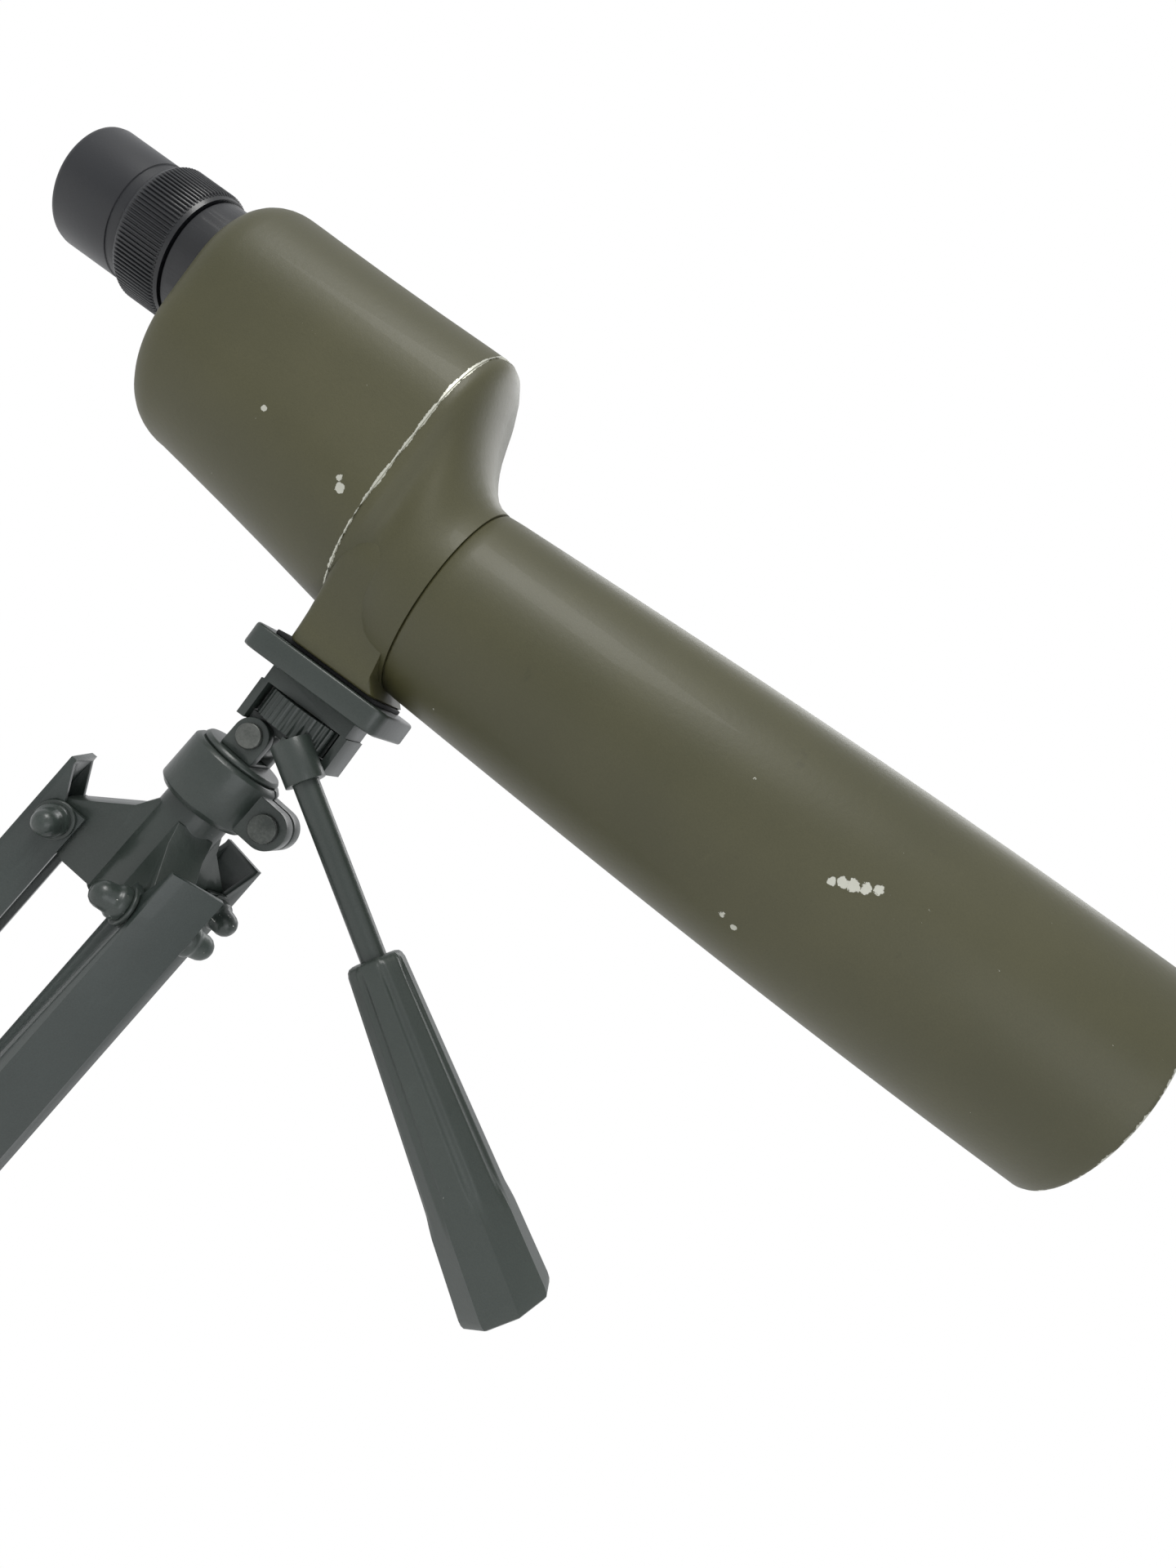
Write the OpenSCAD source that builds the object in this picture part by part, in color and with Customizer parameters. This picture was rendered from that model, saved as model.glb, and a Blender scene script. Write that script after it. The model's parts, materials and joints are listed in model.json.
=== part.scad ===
/* [Stand] */
// Height of the leg pivots above the ground with the legs folded
pivot_z = 168; // [150:1:240]
// Distance of each leg pivot from the stand's axis
pivot_r = 24; // [22:0.5:28]
// Width of a leg channel across its web
leg_w = 15; // [14.5:0.1:17]
// Depth of a leg channel
leg_d = 12.6; // [12:0.1:14]

/* [Head] */
// Radius of the azimuth drum
drum_r = 13.3; // [12.5:0.1:14]
// Height of the azimuth drum
drum_h = 15.5; // [14:0.5:20]
// Angle of the pan handle below the scope's axis
handle_drop = 32; // [28:1:34]
// Length of the handle grip
grip_len = 91; // [80:1:100]

// Upward tilt of the scope at rest
rest_tilt = 5; // [0:1:8]

/* [Scope] */
// Length of the objective barrel
barrel_len = 203; // [190:1:220]
// Outer radius of the barrel at its front rim
rim_r = 33.8; // [33.4:0.1:35]
// Radius of the eyecup
eyecup_r = 16.6; // [16:0.1:17.4]
// Height of the eyepiece axis above the objective axis
axis_offset = 35; // [33:1:36]

/* [Hidden] */
$fn = 64;

olive = [0.35, 0.34, 0.25];
grey_green = [0.27, 0.30, 0.28];
black = [0.13, 0.14, 0.15];
brass = [0.7, 0.6, 0.35];
glass = [0.75, 0.85, 0.88];
rubber = [0.1, 0.1, 0.1];

leg_az = [190, 70, 310];         // bearings of the three legs
sheet = 1.6;                     // thickness of the leg sheet
arm_t = 10.6;                    // thickness of a hub arm
web_x = pivot_r + 5.6;           // inner face of a folded leg's web
leg_top = 15;                    // height of a leg above its pivot
bolt_r = 2.4;
foot_h = 14;

drum_z = pivot_z + 24.5;         // underside of the drum
disc_z = drum_z + drum_h;
disc_t = 1.8;
yoke_z = disc_z + disc_t;        // floor of the tilt yoke
tilt_z = yoke_z + 6;             // tilt axis
neck_x = 7;                      // the neck and plate stand forward of the tilt axis
wheel_z = yoke_z + 12;
wheel_h = 7.5;
wheel_r = 11.6;
bridge_z = wheel_z + wheel_h + 0.4;
plate_z = bridge_z + 5;
plate_t = 6.5;
pad_t = 1.2;
base_z = plate_z + plate_t + pad_t;   // foot of the scope's pedestal
spindle_r = 6;
pin_r = 2;
run = 0.05;                      // running clearance

obj_z = base_z + 30.5;           // objective axis
eye_z = obj_z + axis_offset;     // eyepiece axis
ridge_x = neck_x - 11.5;         // joint of the prism cover and the body casting
rear_x = neck_x - 83;            // rear wall of the prism cover
root_x = neck_x + 12;            // joint of the barrel and the body casting
front_x = root_x + barrel_len;   // front rim
root_r = 27.8;
wall = 2.6;
cell_bore = rim_r - 2.3;         // parallel bore that takes the objective cell
lens_x = front_x - 26;           // rear of the objective cell
slice = 0.4;                     // thickness of a housing slice
screw_r = 3.175;                 // quarter-inch stand screw

handle_at = [neck_x + 5, -12, tilt_z + 4.4];
rod_r = 3.4;
rod_len = 56;
clamp_r = 2.1;
boss_r = 5.2;

screw_at = [[0, base_z + 84.6], [25, base_z + 62], [-25, base_z + 62], [0, base_z + 17]];

// Outline of the flared barrel: radius at a share t of its length
function flare(t) = root_r + (rim_r - root_r) * sin(90 * min(1, t * 1.06));

// Turns a profile drawn as [radius, station] so that it lies along +X at height z
module along_x(z) translate([0, 0, z]) rotate([0, 90, 0]) rotate_extrude() children();
module ring_x(x0, x1, r_out, r_in, z)
  along_x(z) translate([r_in, x0]) square([r_out - r_in, x1 - x0]);
module rod_x(x0, x1, r, z) translate([x0, 0, z]) rotate([0, 90, 0]) cylinder(h = x1 - x0, r = r);

module at_leg(i) rotate([0, 0, leg_az[i]]) children();

// ---- stand ----

module hub_arm(i)
  at_leg(i)
    difference() {
      translate([0, arm_t / 2, 0])
        rotate([90, 0, 0])
          linear_extrude(arm_t)
            polygon([[0, pivot_z - 9], [pivot_r - 7, pivot_z - 8], [pivot_r - 2, pivot_z - 5],
                     [pivot_r + 3, pivot_z - 4.2], [pivot_r + 4.6, pivot_z], [pivot_r + 3, pivot_z + 4.2],
                     [12, pivot_z + 15], [8.8, pivot_z + 20], [0, pivot_z + 20]]);
      translate([pivot_r, 0, pivot_z]) rotate([90, 0, 0]) cylinder(h = 40, r = bolt_r, center = true);
    }

module hub()
  color(grey_green)
    difference() {
      union() {
        for (i = [0:2]) hub_arm(i);
        translate([0, 0, pivot_z - 9]) cylinder(h = drum_z - pivot_z + 9 - 0.3, r = 9.3);
      }
      translate([0, 0, pivot_z + 4]) cylinder(h = 40, r = spindle_r);
    }

module azimuth_spindle()
  color(brass) translate([0, 0, pivot_z + 4]) cylinder(h = disc_z - pivot_z - 4 - 0.3, r = spindle_r);

module pivot_bolts()
  color(grey_green)
    for (i = [0:2]) at_leg(i)
      translate([pivot_r, 0, pivot_z]) rotate([90, 0, 0]) cylinder(h = leg_w + 9, r = bolt_r, center = true);

module washers()
  color(grey_green)
    for (i = [0:2], s = [-1, 1]) at_leg(i)
      translate([pivot_r, s * (leg_w / 2 + 0.8), pivot_z]) rotate([90, 0, 0])
        difference() {
          cylinder(h = 1.2, r = 5.2, center = true);
          cylinder(h = 4, r = bolt_r, center = true);
        }

// A dome nut with its blind bore, opening towards -Z
module dome_nut()
  difference() {
    rotate_extrude()
      polygon([[0, 0], [4.4, 0], [4.4, 2.2], [3.7, 3.2], [3.5, 5.2],
               for (a = [10:20:90]) [3.5 * cos(a), 5.2 + 3.5 * sin(a)]]);
    translate([0, 0, -1]) cylinder(h = 4.1, r = bolt_r);
  }

module acorn_nuts()
  color(grey_green)
    for (i = [0:2], s = [-1, 1]) at_leg(i)
      translate([pivot_r, s * (leg_w / 2 + 1.4), pivot_z]) rotate([-90 * s, 0, 0]) dome_nut();

// One folded channel leg: web outside, flanges towards the hub
module leg(i)
  color(grey_green)
    at_leg(i)
      difference() {
        translate([web_x + sheet - leg_d, -leg_w / 2, foot_h - 4])
          cube([leg_d, leg_w, pivot_z + leg_top - foot_h + 4]);
        translate([web_x - leg_d, -leg_w / 2 + sheet, foot_h - 8])
          cube([leg_d, leg_w - 2 * sheet, pivot_z + leg_top]);
        translate([web_x - leg_d, leg_w, pivot_z + 4.6])
          rotate([90, 0, 0])
            linear_extrude(2 * leg_w)
              polygon([[0, 0], [leg_d - 4.5, 0], [leg_d, leg_top - 6], [leg_d, leg_top], [0, leg_top]]);
        translate([pivot_r, 0, pivot_z]) rotate([90, 0, 0]) cylinder(h = 40, r = bolt_r + run, center = true);
      }

// Moulded foot plugged into the channel's lower end
module foot(i)
  color(rubber)
    at_leg(i)
      translate([web_x + sheet - leg_d / 2, 0, 0]) union() {
        translate([-leg_d / 2 - 1, -leg_w / 2 - 1, 0]) cube([leg_d + 2, leg_w + 2, foot_h - 4]);
        translate([-leg_d / 2 + 2, -leg_w / 2 + sheet, foot_h - 4])
          cube([leg_d - 2 - sheet, leg_w - 2 * sheet, 8]);
      }

// ---- head ----

module azimuth_drum()
  color(grey_green)
    difference() {
      union() {
        translate([0, 0, drum_z]) rotate_extrude()
          polygon([[0, 0], [drum_r - 1.5, 0], [drum_r, 1.5], [drum_r, drum_h - 1], [drum_r - 1, drum_h], [0, drum_h]]);
        translate([8, -6, drum_z + 2]) cube([10, 12, drum_h - 4]);
        translate([18, 6, drum_z + drum_h / 2]) rotate([90, 0, 0]) cylinder(h = 12, r = drum_h / 2 - 2);
      }
      translate([0, 0, drum_z - 1]) cylinder(h = drum_h + 2, r = spindle_r + run);
      translate([18, 0, drum_z + drum_h / 2]) rotate([90, 0, 0]) cylinder(h = 20, r = clamp_r + run, center = true);
      translate([0, -0.6, drum_z - 1]) cube([40, 1.2, drum_h + 2]);
    }

module clamp_screw()
  color(grey_green)
    translate([18, 0, drum_z + drum_h / 2]) rotate([90, 0, 0]) union() {
      cylinder(h = 13, r = clamp_r, center = true);
      translate([0, 0, 6.1]) cylinder(h = 2.4, r = 3.8);
      translate([0, 0, -8.3]) cylinder(h = 2.2, r = 4.2, $fn = 6);
    }

module azimuth_disc()
  color(grey_green)
    translate([0, 0, disc_z])
      rotate_extrude() polygon([[0, 0], [11.2, 0], [11.6, 0.8], [10.9, disc_t], [0, disc_t]]);

module tilt_yoke()
  color(grey_green)
    difference() {
      union() {
        translate([-5, -6, yoke_z]) cube([10, 12, 0.8]);
        for (s = [-1, 1])
          translate([0, s * 6.2, 0]) union() {
            translate([-5, -1.8, yoke_z]) cube([10, 3.6, tilt_z - yoke_z]);
            translate([0, 1.8, tilt_z]) rotate([90, 0, 0]) cylinder(h = 3.6, r = 5);
          }
      }
      translate([0, 0, tilt_z]) rotate([90, 0, 0]) cylinder(h = 40, r = pin_r, center = true);
    }

// Tips the pieces above the tilt pin to their rest angle
module tilted() translate([0, 0, tilt_z]) rotate([0, -rest_tilt, 0]) translate([0, 0, -tilt_z]) children();

module tilt_pin()
  color(grey_green)
    translate([0, 0, tilt_z]) rotate([90, 0, 0]) union() {
      cylinder(h = 16, r = pin_r, center = true);
      for (s = [-1, 1]) translate([0, 0, s * 8.9]) cylinder(h = 1.8, r = 3.4, center = true);
    }

// Direction of the handle as a child transform: +Z runs out along the rod
module along_handle() translate(handle_at) rotate([0, 90 + handle_drop, 0]) children();

module tilt_neck()
  color(grey_green) tilted()
    difference() {
      union() {
        translate([neck_x - 13, -8, bridge_z]) cube([26, 16, 5]);
        for (s = [-1, 1])
          translate([neck_x + s * 12.6 - 1.1, -8, wheel_z - 3]) cube([2.2, 16, bridge_z - wheel_z + 3.01]);
        translate([neck_x - 13.7, -4.2, tilt_z + 3.4]) cube([27.4, 8.4, wheel_z - tilt_z - 3.8]);
        translate([0, 4.2, tilt_z]) rotate([90, 0, 0]) cylinder(h = 8.4, r = 5);
        translate([-4, -4.2, tilt_z]) cube([8, 8.4, 4]);
        along_handle() translate([0, 0, -2]) cylinder(h = 11, r = boss_r);
        translate([neck_x + 1, -12, tilt_z + 1.6]) cube([6, 9, 3.8]);
      }
      translate([0, 0, tilt_z]) rotate([90, 0, 0]) cylinder(h = 40, r = pin_r + run, center = true);
      translate([neck_x, 0, bridge_z - 1]) cylinder(h = 10, r = screw_r + 0.3);
      along_handle() cylinder(h = 30, r = rod_r + run);
      translate([neck_x, 0, wheel_z - 0.4]) cylinder(h = wheel_h + 0.8, r = wheel_r + 0.3);
    }

module top_plate()
  color(grey_green) tilted()
    difference() {
      translate([neck_x, 0, plate_z])
        linear_extrude(plate_t)
          polygon([for (c = [[1, 1], [-1, 1], [-1, -1], [1, -1]], a = [0:30:90])
                   [c[0] * 16.5, c[1] * 14] + 4 * [cos(a + (c[0] * c[1] > 0 ? (c[0] > 0 ? 0 : 180) : (c[0] < 0 ? 90 : 270))),
                                                sin(a + (c[0] * c[1] > 0 ? (c[0] > 0 ? 0 : 180) : (c[0] < 0 ? 90 : 270)))]]);
      translate([neck_x, 0, plate_z - 1]) cylinder(h = plate_t + 2, r = screw_r + 0.3);
    }

module plate_pad()
  color(rubber) tilted()
    translate([neck_x, 0, plate_z + plate_t])
      difference() {
        translate([-15.5, -14, 0]) cube([31, 28, pad_t]);
        translate([0, 0, -1]) cylinder(h = 4, r = screw_r + 0.3);
      }

module thumb_wheel()
  color(grey_green) tilted()
    translate([neck_x, 0, wheel_z])
      difference() {
        cylinder(h = wheel_h, r = wheel_r);
        for (k = [0:35]) rotate([0, 0, k * 10])
          translate([wheel_r + 0.35, 0, -1]) cylinder(h = wheel_h + 2, r = 0.75, $fn = 6);
        translate([0, 0, -1]) cylinder(h = wheel_h + 2, r = screw_r);
      }

module mounting_stud()
  color(brass) tilted() translate([neck_x, 0, wheel_z]) cylinder(h = base_z + 7.5 - wheel_z, r = screw_r);

module handle_rod()
  color(grey_green) tilted() along_handle() translate([0, 0, 1]) cylinder(h = rod_len + 16, r = rod_r);

// Tapered eight-sided grip
module handle_grip()
  color(grey_green) tilted()
    along_handle() translate([0, 0, rod_len])
      difference() {
        cylinder(h = grip_len, r1 = 7.9, r2 = 12.6, $fn = 8);
        translate([0, 0, -1]) cylinder(h = 18, r = rod_r);
      }

// ---- scope ----

// Two thin discs whose hull is one slice of the prism housing, taken in by shrink
module oval(x, low_z, low_r, shrink)
  translate([x, 0, base_z]) rotate([90, 0, 90]) {
    translate([0, 62, 0]) cylinder(h = slice, r = 28.5 - shrink, $fn = 36);
    translate([0, low_z, 0]) cylinder(h = slice, r = low_r - shrink, $fn = 36);
  }

// Section of the prism housing, taken in by g
function belt(g) = [for (a = [0:10:180]) [(28.5 - g) * cos(a), 62 + (28.5 - g) * sin(a)],
                    for (a = [180:10:360]) [(30 - g) * cos(a), 40 + (30 - g) * sin(a)]];

// The cover's solid shape up to station end_x, taken in by g: its section, side view and plan together
module cover_shape(g, end_x)
  intersection() {
    translate([rear_x + g, 0, base_z]) rotate([90, 0, 90]) linear_extrude(end_x - rear_x - g) polygon(belt(g));
    translate([rear_x + g, 40, base_z]) rotate([90, 0, 0]) linear_extrude(80)
      polygon([[0, 26.5 + g / 2], [3, 20 + g], [75, 9.2 + g], [75, 95], [8, 95], [3, 87 - g], [0, 82.6 - g / 4]]);
    translate([rear_x + g, 0, base_z]) linear_extrude(100)
      polygon([[0, -21.5], [2.5, g - 27], [8, -31], [75, -31], [75, 31], [8, 31], [2.5, 27 - g], [0, 21.5]]);
  }

module prism_cover()
  color(olive) tilted()
    difference() {
      cover_shape(0, ridge_x);
      cover_shape(wall, ridge_x + 1);
      rod_x(rear_x - 5, rear_x + 12, eyecup_r + 0.4, eye_z);
    }

module body_casting()
  color(olive) tilted()
    difference() {
      union() {
        hull() {
          oval(ridge_x, 40, 30, 0);
          oval(ridge_x + 4.5, 40, 30, 2.6);
          rod_x(root_x - 0.5, root_x, root_r, obj_z);
        }
        translate([ridge_x + 0.5, -14, base_z]) cube([26.5, 28, 22]);
      }
      hull() {
        oval(ridge_x - 0.5, 40, 30, 3.4);
        oval(ridge_x + 3, 40, 30, 9);
      }
      along_x(obj_z) translate([52.7, neck_x + 19.4]) circle(r = 24.5);
      rod_x(ridge_x - 1, root_x + 1, 21, obj_z);
      rod_x(root_x - 4, root_x + 30, root_r - 1.6, obj_z);
      rod_x(root_x, root_x + 30, root_r + 0.1, obj_z);
      translate([neck_x, 0, base_z - 1]) cylinder(h = 9, r = screw_r + 0.02);
      for (p = screw_at) translate([0, p[0], 0]) rod_x(ridge_x - 1, ridge_x + 3.5, 1.2, p[1]);
    }

module objective_barrel()
  color(olive) tilted()
    along_x(obj_z)
      polygon([for (k = [0:24]) [flare(k / 24), root_x + barrel_len * k / 24 - (k == 24 ? 0.8 : 0)],
               [rim_r - 0.8, front_x], [cell_bore, front_x], [cell_bore, lens_x - 2],
               for (k = [20:-1:1]) if (root_x + barrel_len * k / 24 < lens_x - 3)
                 [flare(k / 24) - 1.9, root_x + barrel_len * k / 24],
               [root_r - 3.4, root_x + 3], [root_r - 3.4, root_x - 3.2], [root_r - 1.6, root_x - 3.2],
               [root_r - 1.6, root_x]]);

module barrel_seal()
  color(rubber) tilted()
    ring_x(root_x - 4, root_x - 3.2, root_r - 1.7, root_r - 3.4, obj_z);

module baffles()
  color(black) tilted()
    for (x = [root_x + 50, root_x + 100])
      ring_x(x, x + 1.2, flare((x - root_x) / barrel_len) - 1.95, 20 + (x - root_x) / 20, obj_z);

module objective_cell()
  color(black) tilted()
    along_x(obj_z)
      polygon([[cell_bore, lens_x], [cell_bore, lens_x + 15], [cell_bore - 2.5, lens_x + 15],
               [cell_bore - 2.5, lens_x + 3], [cell_bore - 5, lens_x + 3], [cell_bore - 5, lens_x]]);

lens_r = cell_bore - 2.5;

module objective_flint()
  color(glass) tilted()
    along_x(obj_z)
      polygon([for (a = [0:5:25]) [lens_r * a / 25, lens_x + 3 + 0.8 * (1 - pow(a / 25, 2))],
               [lens_r, lens_x + 7.4], for (a = [20:-5:0]) [lens_r * a / 25, lens_x + 7.4 - 1.9 * (1 - pow(a / 25, 2))]]);

module objective_crown()
  color(glass) tilted()
    along_x(obj_z)
      polygon([for (a = [0:5:25]) [lens_r * a / 25, lens_x + 7.4 - 1.9 * (1 - pow(a / 25, 2))],
               for (a = [25:-5:0]) [lens_r * a / 25, lens_x + 9.4 + 2.8 * (1 - pow(a / 25, 2))]]);

module objective_retainer()
  color(black) tilted()
    ring_x(lens_x + 9.95, lens_x + 13, lens_r, lens_r - 2.6, obj_z);

prism_hyp = 34;
prism_t = 17;

// Right-angle prism: hypotenuse in the plane x = 0, apex towards +X
module right_prism()
  translate([0, 0, -prism_t / 2]) linear_extrude(prism_t)
    polygon([[0, -prism_hyp / 2 + 0.6], [0, prism_hyp / 2 - 0.6], [prism_hyp / 2 - 1, 0.6], [prism_hyp / 2 - 1, -0.6]]);

cage_x = neck_x - 46;            // plate between the two prisms

module prism_front()
  color(glass) tilted()
    translate([cage_x + 2, 7, obj_z + 9]) rotate([-45, 0, 0]) right_prism();

module prism_rear()
  color(glass) tilted()
    translate([cage_x - 2, 7, eye_z - 9]) rotate([45, 0, 0]) mirror([1, 0, 0]) right_prism();

module prism_cage()
  color(black) tilted()
    difference() {
      hull() {
        translate([cage_x - 1, 0, base_z + 61]) rotate([0, 90, 0]) cylinder(h = 2, r = 24, $fn = 48);
        translate([cage_x - 1, 0, base_z + 47]) rotate([0, 90, 0]) cylinder(h = 2, r = 24, $fn = 48);
      }
      rod_x(cage_x - 5, cage_x + 5, 9, obj_z);
      rod_x(cage_x - 5, cage_x + 5, 8, eye_z);
      translate([0, 13, 0]) rod_x(cage_x - 5, cage_x + 5, 7, obj_z + 17);
    }

module cover_screws()
  color(brass) tilted()
    for (p = screw_at)
      translate([0, p[0], 0]) rod_x(ridge_x + 0.5, ridge_x + 3.5, 1.2, p[1]);

// ---- eyepiece ----

ring_x0 = neck_x - 109.5;        // rear face of the focus ring
ring_x1 = neck_x - 94.5;
rim_x = neck_x - 131;            // eye end
travel = 3;                      // focus travel each way
tube_r = 12.6;
skirt_r = tube_r + 2.4;          // inside of the eyecup's skirt, clear of the fixed sleeve

module eyepiece_neck()
  color(black) tilted()
    along_x(eye_z)
      polygon([[tube_r + run, ring_x0 + 1.5], [tube_r + 2, ring_x0 + 1.5], [tube_r + 2, ring_x1], [17.2, ring_x1 + 0.3],
               [17.0, rear_x - 0.2], [eyecup_r + 0.4, rear_x - 0.2], [eyecup_r + 0.4, rear_x + 8],
               [tube_r + run, rear_x + 8]]);

module focus_ring()
  color(black) tilted()
    difference() {
      along_x(eye_z)
        polygon([[tube_r + 2 + run, ring_x0 + 4.6], [eyecup_r + 0.3, ring_x0 + 4.6], [eyecup_r + 0.3, ring_x0], [17.9, ring_x0], [18.7, ring_x0 + 1.4], [18.7, ring_x1 - 1.6],
                 [17.9, ring_x1 - 0.3], [tube_r + 2 + run, ring_x1 - 0.3]]);
      translate([ring_x0 + 7, 0, eye_z]) rotate([100, 0, 0]) cylinder(h = 30, r = 1);
    }

module focus_set_screw()
  color(black) tilted()
    translate([ring_x0 + 7, 0, eye_z]) rotate([100, 0, 0])
      translate([0, 0, 15.4]) cylinder(h = 2.1, r = 1);

// Sliding tube that carries the lenses, with the eyecup at its outer end
module eyecup_tube()
  color(black) tilted()
    along_x(eye_z)
      polygon([[10.4, rim_x + 1], [10.4, rim_x + 3], [11, rim_x + 3], [11, rear_x + 1], [tube_r, rear_x + 1],
               [tube_r, ring_x0 - travel - 0.6], [skirt_r, ring_x0 - travel - 0.6], [skirt_r, ring_x0 + 1.2],
               [eyecup_r - 0.3, ring_x0 + 1.2], [eyecup_r - 0.3, ring_x0 - travel - 0.6],
               [eyecup_r, ring_x0 - travel - 0.6], [eyecup_r, rim_x + 1.2],
               [eyecup_r - 1.2, rim_x], [14.2, rim_x], [12.5, rim_x + 1]]);

module eye_lens()
  color(glass) tilted()
    along_x(eye_z)
      polygon([for (a = [0:4]) [11 * a / 4, rim_x + 4.2 + 1.2 * pow(a / 4, 2) - 1.1],
               for (a = [4:-1:0]) [11 * a / 4, rim_x + 9.4 - 1.2 * pow(a / 4, 2)]]);

module field_lens()
  color(glass) tilted()
    along_x(eye_z)
      polygon([for (a = [0:4]) [11 * a / 4, rim_x + 16 + 1.4 * pow(a / 4, 2)],
               for (a = [4:-1:0]) [11 * a / 4, rim_x + 23 - 1.4 * pow(a / 4, 2)]]);

module eyepiece_retainer()
  color(black) tilted()
    for (x = [rim_x + 10, rim_x + 24]) ring_x(x, x + 2.4, 11, 9.2, eye_z);

hub();
azimuth_spindle();
pivot_bolts();
acorn_nuts();
washers();
leg(0);  // leg_rear
leg(1);  // leg_left
leg(2);  // leg_right
foot(0);  // foot_rear
foot(1);  // foot_left
foot(2);  // foot_right
azimuth_drum();
azimuth_disc();
clamp_screw();
tilt_yoke();
tilt_pin();
tilt_neck();
top_plate();
plate_pad();
thumb_wheel();
mounting_stud();
handle_rod();
handle_grip();
body_casting();
prism_cover();
prism_cage();
prism_front();
prism_rear();
cover_screws();
objective_barrel();
barrel_seal();
baffles();
objective_cell();
objective_crown();
objective_flint();
objective_retainer();
eyepiece_neck();
focus_ring();
focus_set_screw();
eyecup_tube();
eye_lens();
field_lens();
eyepiece_retainer();
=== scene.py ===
import json
import math

import bmesh
import bpy
import numpy as np
from mathutils import Matrix, Vector


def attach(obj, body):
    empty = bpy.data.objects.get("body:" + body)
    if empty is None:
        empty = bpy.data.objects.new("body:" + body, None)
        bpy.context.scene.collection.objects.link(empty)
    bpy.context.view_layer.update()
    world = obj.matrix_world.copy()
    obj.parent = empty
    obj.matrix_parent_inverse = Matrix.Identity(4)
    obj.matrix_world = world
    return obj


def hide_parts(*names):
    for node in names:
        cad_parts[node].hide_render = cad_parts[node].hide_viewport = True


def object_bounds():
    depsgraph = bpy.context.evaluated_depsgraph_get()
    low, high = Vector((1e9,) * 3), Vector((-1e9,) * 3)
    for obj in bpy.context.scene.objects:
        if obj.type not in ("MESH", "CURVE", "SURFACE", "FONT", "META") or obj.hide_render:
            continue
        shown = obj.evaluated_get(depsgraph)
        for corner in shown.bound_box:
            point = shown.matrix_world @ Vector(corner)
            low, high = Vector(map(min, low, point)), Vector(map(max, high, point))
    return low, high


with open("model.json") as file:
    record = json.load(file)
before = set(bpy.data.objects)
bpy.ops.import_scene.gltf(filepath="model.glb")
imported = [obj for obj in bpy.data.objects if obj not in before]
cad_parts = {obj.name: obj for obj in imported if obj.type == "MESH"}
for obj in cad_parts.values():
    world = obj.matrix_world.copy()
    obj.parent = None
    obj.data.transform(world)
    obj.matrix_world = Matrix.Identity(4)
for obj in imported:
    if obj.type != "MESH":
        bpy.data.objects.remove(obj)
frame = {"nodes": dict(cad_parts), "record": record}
cad_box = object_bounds()

MM = 0.001
record = frame["record"]
mounts = {m["name"]: Vector(m["pos_m"]) for m in record["mounts"]}
joints = {j["name"]: j for j in record["behaviour"]["joints"]}

# The scope's own directions: forward along its axes, left, and up square to them.
FORE = Vector(joints["focus_slide"]["axis"]).normalized()
LEFT = Vector((0, 1, 0))
RISE = FORE.cross(LEFT).normalized()
RIM = mounts["objective_rim"]
EYE = mounts["eyecup_outside"]
TO_LEVEL = Matrix((FORE, LEFT, RISE))
FROM_LEVEL = TO_LEVEL.transposed()


def level(point):
    return TO_LEVEL @ Vector(point)


def span(node):
    """The least and greatest level coordinates of one of the frame's nodes."""
    mesh = bpy.data.objects[node].data
    co = np.array([v.co for v in mesh.vertices]) @ np.array(FROM_LEVEL)
    return Vector(co.min(0)), Vector(co.max(0))


OBJ_Z = level(RIM).z
EYE_Z = level(EYE).z


# ---- materials ----


class Value:
    """A shader socket that arithmetic can be written on."""

    def __init__(self, tree, socket):
        self.tree, self.socket = tree, socket

    def make(self, kind, output=0, settings=None, **inputs):
        node = self.tree.nodes.new(kind)
        for key, value in (settings or {}).items():
            setattr(node, key, value)
        for key, value in inputs.items():
            slot = node.inputs[int(key[1:])] if key[0] == "i" and key[1:].isdigit() else node.inputs[key]
            if isinstance(value, Value):
                self.tree.links.new(value.socket, slot)
            else:
                slot.default_value = value
        return Value(self.tree, node.outputs[output])

    def _math(self, operation, *others):
        inputs = {f"i{n}": value for n, value in enumerate((self, *others))}
        return self.make("ShaderNodeMath", settings={"operation": operation}, **inputs)

    def __add__(self, other):
        return self._math("ADD", other)

    def __sub__(self, other):
        return self._math("SUBTRACT", other)

    def __mul__(self, other):
        return self._math("MULTIPLY", other)

    def __rsub__(self, other):
        return (self * -1.0) + other

    __radd__, __rmul__ = __add__, __mul__

    def most(self, other):
        return self._math("MAXIMUM", other)

    def size(self):
        return self._math("ABSOLUTE")

    def ramp(self, low, high, to_low=0.0, to_high=1.0):
        return self.make(
            "ShaderNodeMapRange",
            settings={"interpolation_type": "SMOOTHSTEP"},
            i0=self,
            i1=low,
            i2=high,
            i3=to_low,
            i4=to_high,
        )

    def dot(self, direction):
        settings = {"operation": "DOT_PRODUCT"}
        return self.make("ShaderNodeVectorMath", 1, settings, i0=self, i1=tuple(direction))

    def away(self, point):
        return self.make("ShaderNodeVectorMath", 1, {"operation": "DISTANCE"}, i0=self, i1=tuple(point))

    def noise(self, scale, detail=4.0, rough=0.55):
        return self.make("ShaderNodeTexNoise", 0, Vector=self, Scale=scale, Detail=detail, Roughness=rough)

    def stretched(self, scale):
        return self.make("ShaderNodeMapping", 0, Vector=self, Scale=scale)

    def mix(self, low, high):
        """Blends two colours by this value."""
        node = self.tree.nodes.new("ShaderNodeMix")
        node.data_type = "RGBA"
        for slot, value in ((node.inputs[6], low), (node.inputs[7], high)):
            if isinstance(value, Value):
                self.tree.links.new(value.socket, slot)
            else:
                slot.default_value = (*value, 1.0)
        self.tree.links.new(self.socket, node.inputs[0])
        return Value(self.tree, node.outputs[2])


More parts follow.
